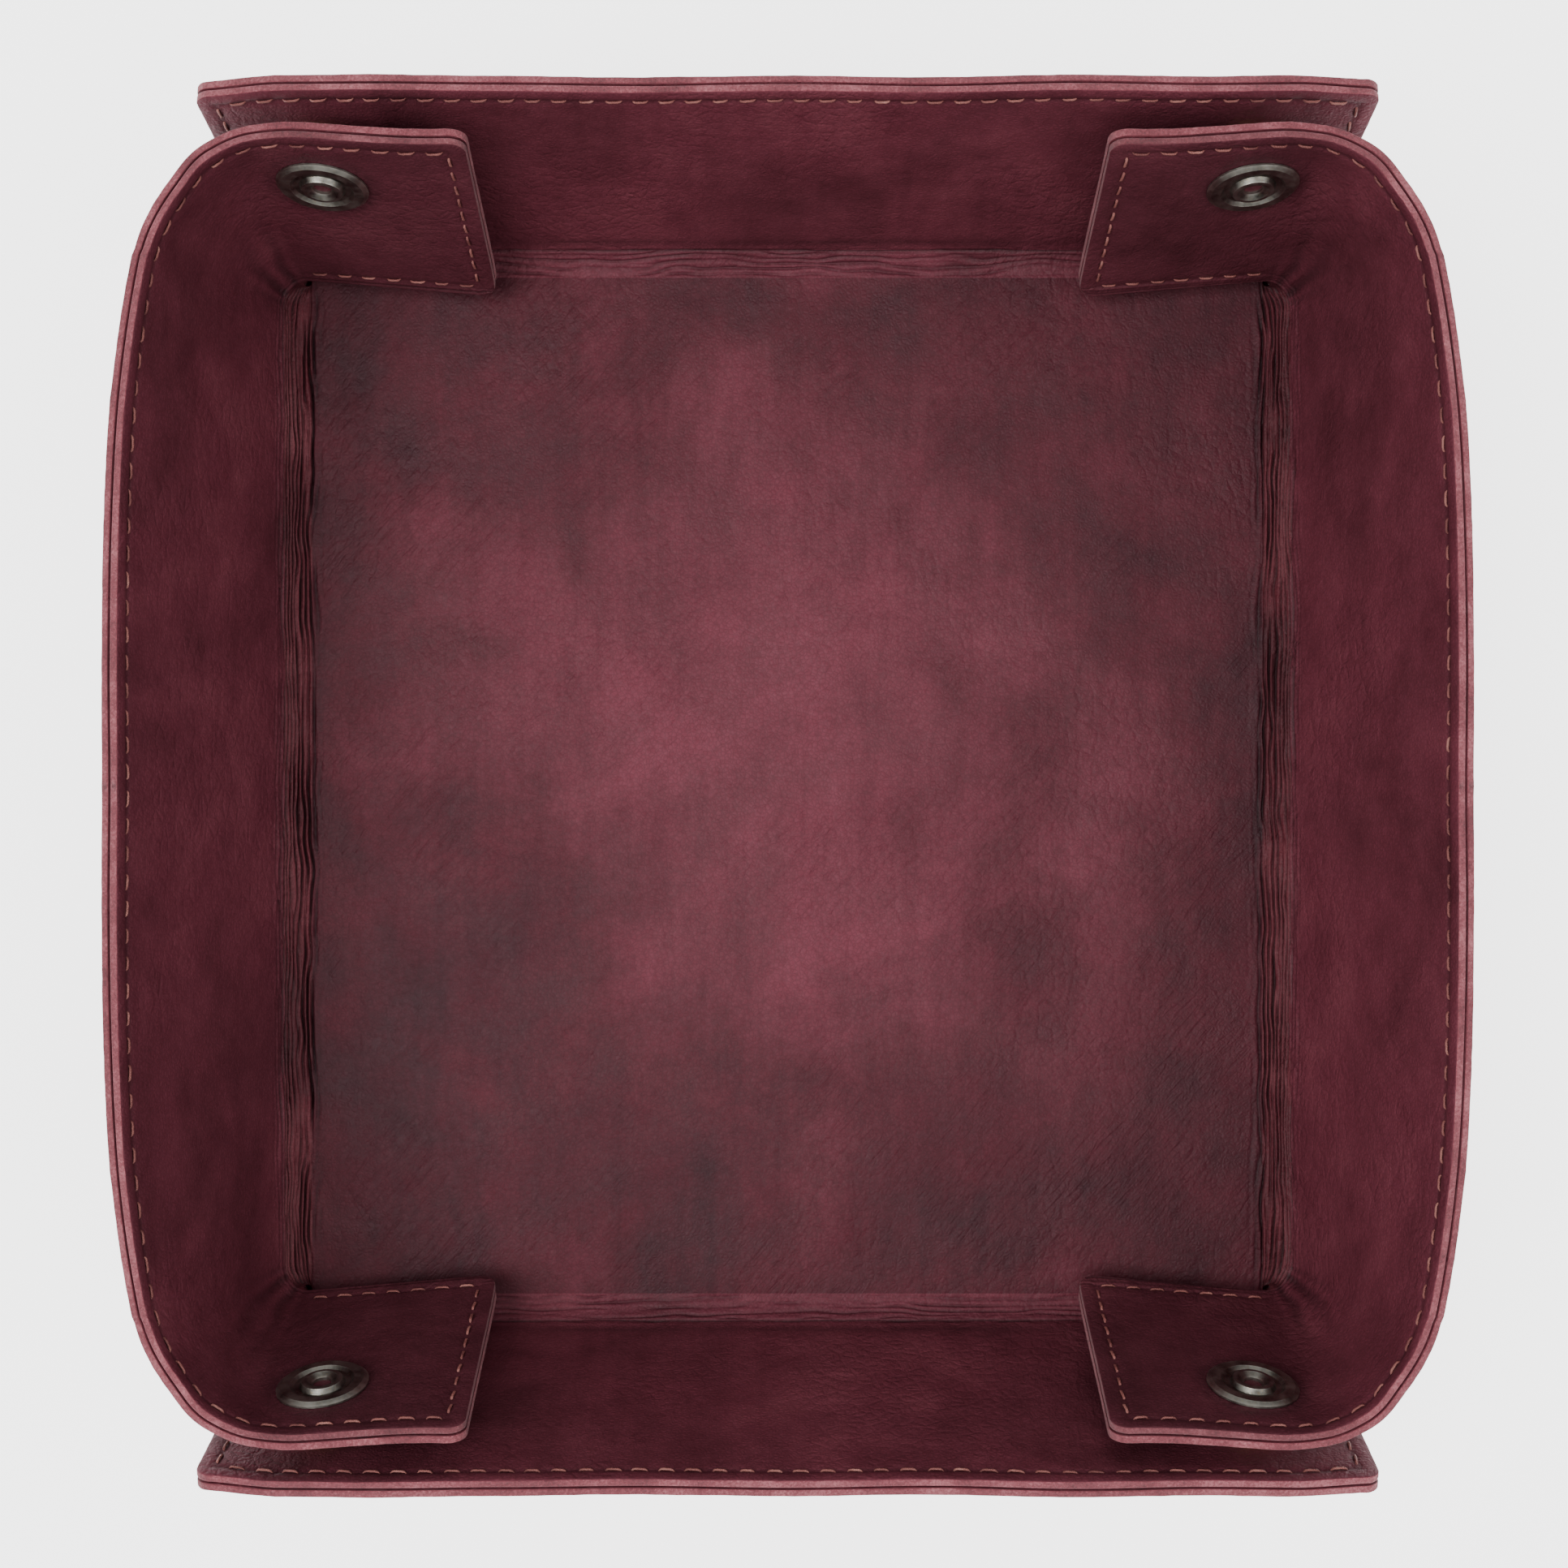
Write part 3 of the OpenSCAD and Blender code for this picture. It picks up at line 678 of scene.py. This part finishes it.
def end_wall_pieces(wall, mirror):
    vs = LOW_FB + spacing(WALL_LEN - LOW_FB, 1.5, False, True)
    us = spacing(2 * WALL_HALF, 1.5, True, True) - WALL_HALF
    u, v = np.meshgrid(us, vs, indexing="ij")
    half = end_half(v)
    x = u * half / WALL_HALF
    ex, ev = half - abs(x), WALL_LEN - v
    # The two upper corners are rounded by drawing the grid in
    r = WALL_CORNER_R
    a, b = np.clip(r - ex, 0, None), np.clip(r - ev, 0, None)
    fix = np.where((a > 0) & (b > 0), np.maximum(a, b) / np.maximum(np.hypot(a, b), 1e-9), 1.0)
    edge = np.minimum(ex, ev)
    x = np.where(fix < 1, np.sign(x) * (half - (r - a * fix)), x)
    vv = np.where(fix < 1, WALL_LEN - (r - b * fix), v)
    p, n = end_wall(x, vv)
    # A low crease along the wall's foot, sunk into the surface and darkened with painted shade
    low_line = 0.22 * np.exp(-((v - LOW_FB - 1.7 - 0.3 * noise(x / 13, 0, 0, 77)) / 0.5) ** 2)
    soft = 0.10 * noise(x / 7, v / 5, 0, 78) * smooth((v - LOW_FB) / 3)
    for which in ("inner", "outer"):
        o = ply_sheet(f"{wall}_wall_{which}", which, p, n, edge, mirror,
                      top_off=(soft - low_line) if which == "inner" else 0.0,
                      low_off=soft if which == "outer" else 0.0,
                      shade=np.clip(low_line * 2.2, 0, 0.6) if which == "inner" else None,
                      materials=(WALL_LEATHER_PAINTED_LIGHTER if which == "inner" else OUTER_LEATHER, CUT))
        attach(o, f"{wall}_wall")
        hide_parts(f"{wall}_wall_{which}_leather")
        SHEETS[o.name] = (o, 2 * WALL_HALF, WALL_LEN - LOW_FB, None)


def strip_pieces(corner, mirror):
    """Half a side wall, its corner bend and its tab, as one sheet."""
    side = "left" if mirror[0] > 0 else "right"
    part_a = np.linspace(0, 1, 56)[:-1]
    part_b = np.linspace(1, 2, 34)[:-1]
    span = TAB_LEN - float(tab_start(30.0))
    part_c = 2 + spacing(span, 1.2, False, True) / span
    s = np.concatenate([part_a, part_b, part_c])
    rise = spacing(STRIP_RISE, 1.5, True, True) / STRIP_RISE
    ss, tt = np.meshgrid(s, rise, indexing="ij")
    zl = z_low(ss)
    z = zl + tt * (RIM_Z - zl)
    v_tab = (z - PLY) / math.cos(LEAN_FB)
    end = np.where(ss > 2, (3 - ss) * (TAB_LEN - tab_start(v_tab)), FAR)
    top = (RIM_Z - z) / math.cos(LEAN_LR)
    low = np.where(ss > 1.75, (z - zl) / math.cos(LEAN_FB), FAR)
    low = low + FAR * (1 - smooth((ss - 1.75) / 0.3))
    r = STRIP_CORNER_R
    s2, z2 = ss.copy(), z.copy()
    for far, sign in ((top, -1), (np.where(ss > 2, low, FAR), 1)):
        a, b = np.clip(r - end, 0, None), np.clip(r - far, 0, None)
        both = (a > 0) & (b > 0)
        fix = np.where(both, np.maximum(a, b) / np.maximum(np.hypot(a, b), 1e-9), 1.0)
        s2 = np.where(both, s2 - (a * (1 - fix)) / span, s2)
        z2 = np.where(both, z2 + sign * b * (1 - fix) * math.cos(LEAN_FB), z2)
    edge = np.minimum(np.minimum(end, top), low)
    p, n = strip(s2, z2)
    soft = 0.10 * noise(p[..., 0] / 7, p[..., 1] / 7, p[..., 2] / 6, 88)
    hold = smooth((z - zl) / 2.5) * smooth(ss * 71 / 3)
    # The inside of the bend gathers into a few long creases above its foot
    around = np.clip(ss - 1, 0, 1)
    wrinkle = np.sin(math.pi * around) * np.exp(-((z - zl) / 15) ** 2)
    crease = wrinkle * (0.5 + 0.5 * np.sin(2 * math.pi * (around * 3.2 + 0.25 * noise(z / 6, around * 3, 0, 89))))
    # The fold's creases carry on a little way up the wall
    up = (z - zl) / math.cos(LEAN_LR)
    deep, dark = ridges(FOLD_BAND + up, mirror[1] * p[..., 1], FOLD_BAND, SIDE_SEEDS[side], SIDE_CREASES)
    foot = np.exp(-(up / 2.3) ** 2) * (1 - smooth((abs(p[..., 1]) - side_end(LOW_LR)) / 8))
    mark = np.linalg.norm(p - SNAP_TAB, axis=-1)
    dish = 0.18 * np.exp(-((mark - 6.9) / 0.9) ** 2)
    # Painted shade makes the tabs darker than the walls they grow from
    painted_tab_shade = 0.34 * smooth((ss - 1.55) / 0.6)
    top_off = soft * hold - 0.42 * crease * hold - dish - (FOLD_DEPTH * deep - FOLD_SWELL) * foot
    low_off = soft * hold + 0.15 * crease * hold
    # Painted shade darkens the bend's creases, the fold's ridges, the dish round the snap and the tabs
    shade = np.clip(0.8 * crease + 1.6 * dish + dark * foot + painted_tab_shade, 0, 1)
    for which in ("inner", "outer"):
        inner = which == "inner"
        o = ply_sheet(f"{corner}_strip_{which}", which, p, n, edge, mirror,
                      top_off=top_off if inner else 0.0, low_off=0.0 if inner else low_off,
                      shade=shade if inner else None,
                      materials=(WALL_LEATHER_PAINTED_LIGHTER if inner else OUTER_LEATHER, CUT))
        bend_strip(o)
        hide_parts(f"{side}_wall_{which}_leather", f"{corner}_corner_{which}_leather",
                    f"{corner}_tab_{which}_leather")
        long = float(np.linalg.norm(np.diff(p[:, 20], axis=0), axis=1).sum())
        # The free end's slant and rounded corners take a little off the rectangle
        SHEETS[o.name] = (o, long, STRIP_RISE, long * STRIP_RISE * 0.985)


def bend_strip(o):
    """Bakes the strip's transform into its mesh; the strip's points already follow the wall before the corner and
    the tab after it.
    """
    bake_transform(o)


# ---------------------------------------------------------------- stitches

def along(run, rows, d):
    """The row at distance d, where run has each row's distance."""
    return np.array([np.interp(d, run, rows[:, k]) for k in range(3)])


def one_stitch(rng, run, line, mid, out):
    """Rings of points of one stitch, centred mid along its seam. out points away from the leather."""
    half = STITCH_LEN / 2 * rng.uniform(0.92, 1.07)
    lean = rng.uniform(0.02, 0.10) * 1.4
    first, last = along(run, line, mid - half), along(run, line, mid + half)
    t = unit(last - first)
    side = unit(np.cross(out, t))
    k = np.linspace(-1, 1, STITCH_RINGS)
    centre = along(run, line, mid) + np.outer(k * half, t) + np.outer(k * half * lean, side)
    lift = 0.10 * (1 - k ** 4) - 0.30 * k ** 6
    centre = centre + np.outer(lift - 0.05, out)
    width = THREAD_W / 2 * (1 - 0.35 * k ** 6) * rng.uniform(0.92, 1.06)
    spin = 2.4 * k
    ang = np.linspace(0, 2 * math.pi, STITCH_SIDES, endpoint=False)
    rows = []
    for i in range(STITCH_RINGS):
        # Two twisted strands give the section a waist that turns along the stitch
        rad = width[i] * (0.86 + 0.14 * np.cos(2 * (ang - spin[i] * 2)))
        rows.append(centre[i] + np.outer(np.cos(ang) * rad, side) + np.outer(np.sin(ang) * rad * 0.85, out))
    return rows


def stitch_faces(at):
    """Faces of one stitch whose first point is number at: its sides, then an end of three each."""
    n, faces = STITCH_SIDES, []
    for i in range(STITCH_RINGS - 1):
        for j in range(n):
            a, b = at + i * n + j, at + i * n + (j + 1) % n
            faces.append((a, b, b + n, a + n))
    for ring, order in ((0, -1), (STITCH_RINGS - 1, 1)):
        loop = [at + ring * n + j for j in range(n)][::order]
        faces += [(loop[0], loop[j], loop[j + 1], loop[j + 2]) for j in (1, 3, 5)]
    return faces


def stitch_mesh(name, path, normals, mirror, seed):
    """Stitches at even steps along each path, on the face that each path's normals point out of."""
    rng = np.random.default_rng(seed)
    points, faces = [], []
    for line, out in zip(path, normals):
        gaps = np.linalg.norm(np.diff(line, axis=0), axis=1)
        run = np.concatenate([[0], np.cumsum(gaps)])
        count = max(2, int(round((run[-1] - 0.4) / STITCH_PITCH)))
        for c in range(count):
            mid = (c + 0.5) * (run[-1] / count) + rng.uniform(-0.09, 0.09)
            faces += stitch_faces(len(points) * STITCH_SIDES)
            points += one_stitch(rng, run, line, mid, unit(along(run, out, mid)))
    return make_mesh(name, np.concatenate(points), np.array(faces), np.zeros(len(faces)), mirror,
                     materials=(THREAD,))


def both_faces(line, n):
    """The seam's path on the inner face and on the outer one."""
    return [line + n * PLY, line - n * PLY], [n, -n]


def end_stitches(wall, mirror):
    edge, top = WALL_HALF - SEAM_INSET, WALL_LEN - SEAM_INSET
    low = np.linspace(RELIEF_H - 6, top - 0.2, 120)
    lx = end_half(low) - SEAM_INSET
    along_top = np.linspace(-edge + 1, edge - 1, 400)
    runs = [(-lx, low), (along_top, np.full_like(along_top, top)), (lx[::-1], low[::-1])]
    path, out = [], []
    for x, v in runs:
        p, n = end_wall(x, v)
        lines, normals = both_faces(p, np.array(n))
        path += lines
        out += normals
    o = stitch_mesh(f"{wall}_wall_stitching", path, out, mirror, 100 if wall == "back" else 101)
    THREADS[f"{wall}_wall"] = o
    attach(o, f"{wall}_wall")
    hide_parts(f"{wall}_wall_thread")


def strip_stitches(corner, mirror, seed):
    side = "left" if mirror[0] > 0 else "right"
    s_end = 3 - SEAM_INSET / (TAB_LEN - float(tab_start(30.0)))
    s = np.linspace(0, s_end, 900)
    top_z = RIM_Z - SEAM_INSET * math.cos(LEAN_LR)
    low_z = Z_LOW_TAB + SEAM_INSET * math.cos(LEAN_FB)
    rim = strip(s, np.full_like(s, top_z))
    zs = np.linspace(top_z - 0.6, low_z + 0.6, 200)
    down = strip(np.full_like(zs, s_end), zs)
    foot = np.linspace(s_end, 2.02, 200)
    back = strip(foot, np.full_like(foot, low_z))
    path, out = [], []
    for p, n in (rim, down, back):
        lines, normals = both_faces(p, np.array(n))
        path += lines
        out += normals
    o = stitch_mesh(f"{corner}_strip_stitching", path, out, mirror, seed)
    THREADS[f"{corner}_strip"] = o
    bend_strip(o)
    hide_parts(f"{side}_wall_thread", f"{corner}_tab_thread")


# ---------------------------------------------------------------- building

floor_pieces()
for wall, mirror in (("back", (1, 1)), ("front", (1, -1))):
    end_fold(wall, mirror)
    end_wall_pieces(wall, mirror)
    end_stitches(wall, mirror)
for wall, mirror in (("left", (1, 1)), ("right", (-1, 1))):
    side_fold(wall, mirror)
for k, (corner, mirror) in enumerate(CORNERS.items()):
    strip_pieces(corner, mirror)
    strip_stitches(corner, mirror, 110 + k)

for corner in CORNERS:
    for part, finish in (("eyelet", GUNMETAL), ("cap", CAP_METAL_PAINTED_DARKER), ("stud", BRASS), ("socket", BRASS)):
        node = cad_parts[f"{corner}_snap_{part}"]
        node.data.materials.clear()
        node.data.materials.append(finish)


# ---------------------------------------------------------------- stage, light and camera

def stage_floor():
    k = Nodes("paper_floor")
    at = k.new("TexCoord").outputs["Object"]
    tone = k.new("TexNoise", Vector=at, Scale=6.0, Detail=4.0).outputs[0]
    k.put(k.bsdf, "Base Color", k.ramp(tone, [(0.3, (0.90, 0.90, 0.90, 1)), (0.7, (0.94, 0.94, 0.94, 1))]))
    k.put(k.bsdf, "Roughness", 0.9)
    k.put(k.bsdf, "Emission Color", (1, 1, 1, 1))
    k.put(k.bsdf, "Emission Strength", 2.6)
    bpy.ops.mesh.primitive_grid_add(x_subdivisions=8, y_subdivisions=8, size=6)
    floor = bpy.context.object
    floor.name = "studio_floor"
    floor.data.materials.append(k.mat)


def area_light(name, place, size, power, aim=(0, 0, 0.02)):
    data = bpy.data.lights.new(name, "AREA")
    data.shape, data.size, data.energy = "SQUARE", size, power
    o = bpy.data.objects.new(name, data)
    bpy.context.scene.collection.objects.link(o)
    o.location = place
    direction = Vector(aim) - Vector(place)
    o.rotation_mode = "QUATERNION"
    o.rotation_quaternion = direction.to_track_quat("-Z", "Y")


stage_floor()
area_light("key", (-0.45, -0.08, 1.1), 0.7, 12)
area_light("fill", (0.7, -0.3, 0.9), 0.9, 5)
world = bpy.data.worlds.new("studio")
bpy.context.scene.world = world
world.use_nodes = True
world.node_tree.nodes["Background"].inputs[0].default_value = (1, 1, 1, 1)
world.node_tree.nodes["Background"].inputs[1].default_value = 0.75

camera_data = bpy.data.cameras.new("camera")
camera_data.sensor_width = 36
camera_data.lens = camera_data.sensor_width / 2 / math.tan(CAMERA_FOV / 2)
camera_data.clip_start, camera_data.clip_end = 0.01, 20
camera = bpy.data.objects.new("camera", camera_data)
bpy.context.scene.collection.objects.link(camera)
camera.location = CAMERA_AT
bpy.context.scene.camera = camera
